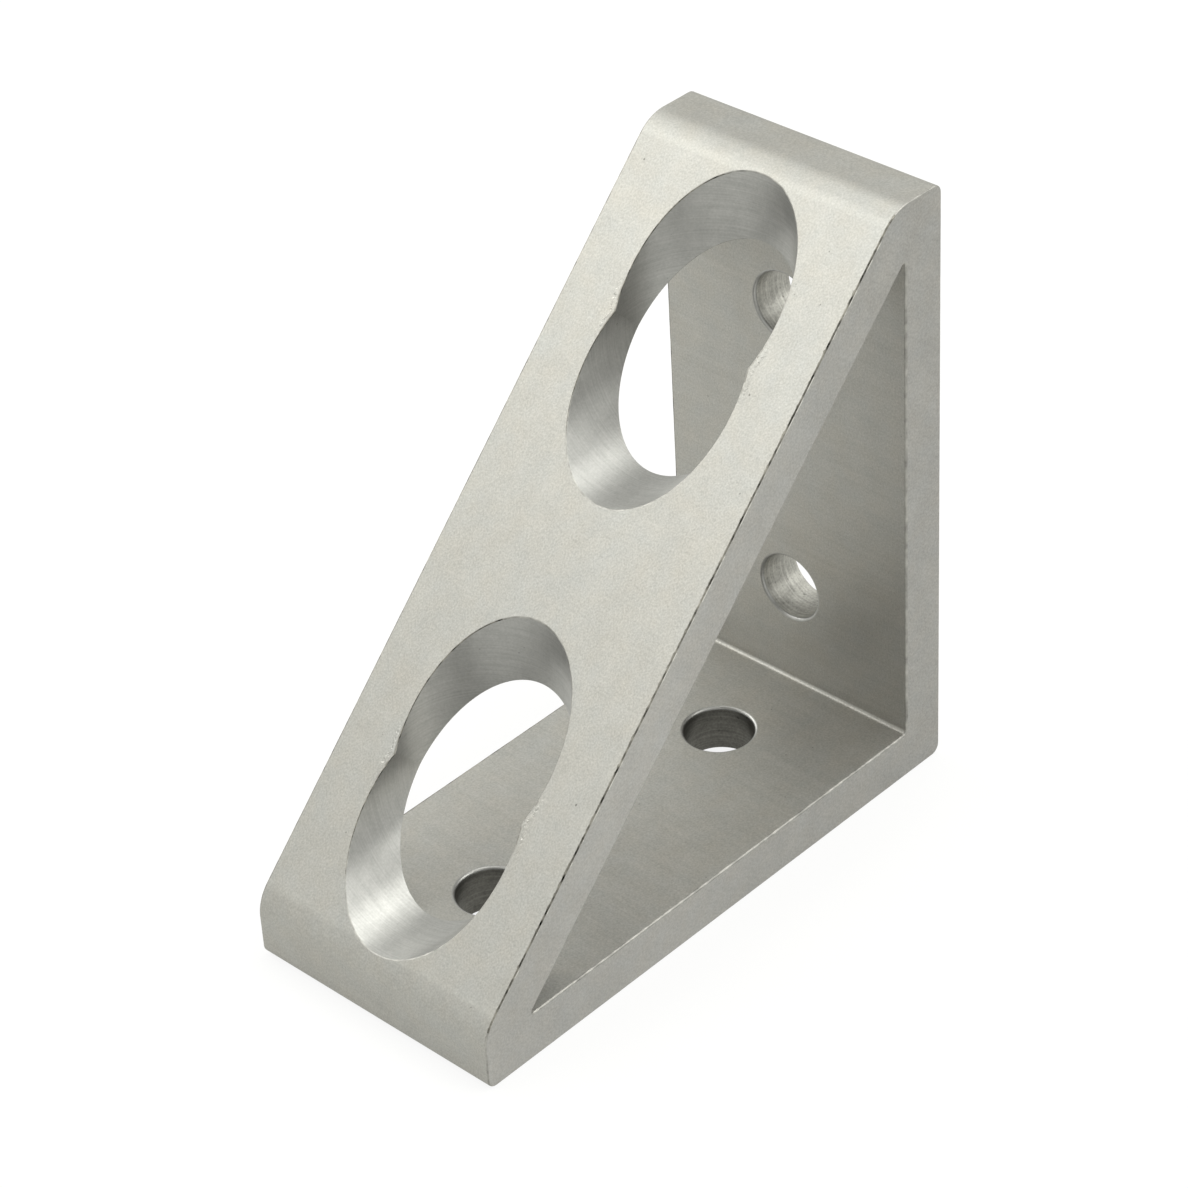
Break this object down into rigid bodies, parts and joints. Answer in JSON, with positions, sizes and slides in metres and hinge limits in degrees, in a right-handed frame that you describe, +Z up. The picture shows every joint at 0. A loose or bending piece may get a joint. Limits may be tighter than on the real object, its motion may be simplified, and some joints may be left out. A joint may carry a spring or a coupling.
{
  "type": "gusseted corner bracket for t-slot framing",
  "caption": "Right-angle inside corner bracket for slotted aluminium framing, with a sloping gusset web, screw holes in both legs and tool openings through the web.",
  "frame": {"origin": "on the base leg's mating face, midway between its two screw holes and midway across the width", "axes": "+X along the base leg, from the square corner towards its tip; +Y across the width; +Z up along the upright leg, so the base leg's mating face looks along -Z and the upright leg's along -X"},
  "size_m": [0.0762, 0.0348, 0.0762],
  "materials": {
    "extruded_aluminium": "clear matt finish on the extruded faces, sawn ends, drilled and milled bores"
  },
  "bodies": {
    "root": {"bracket": "extruded_aluminium"}
  },
  "joints": []
}
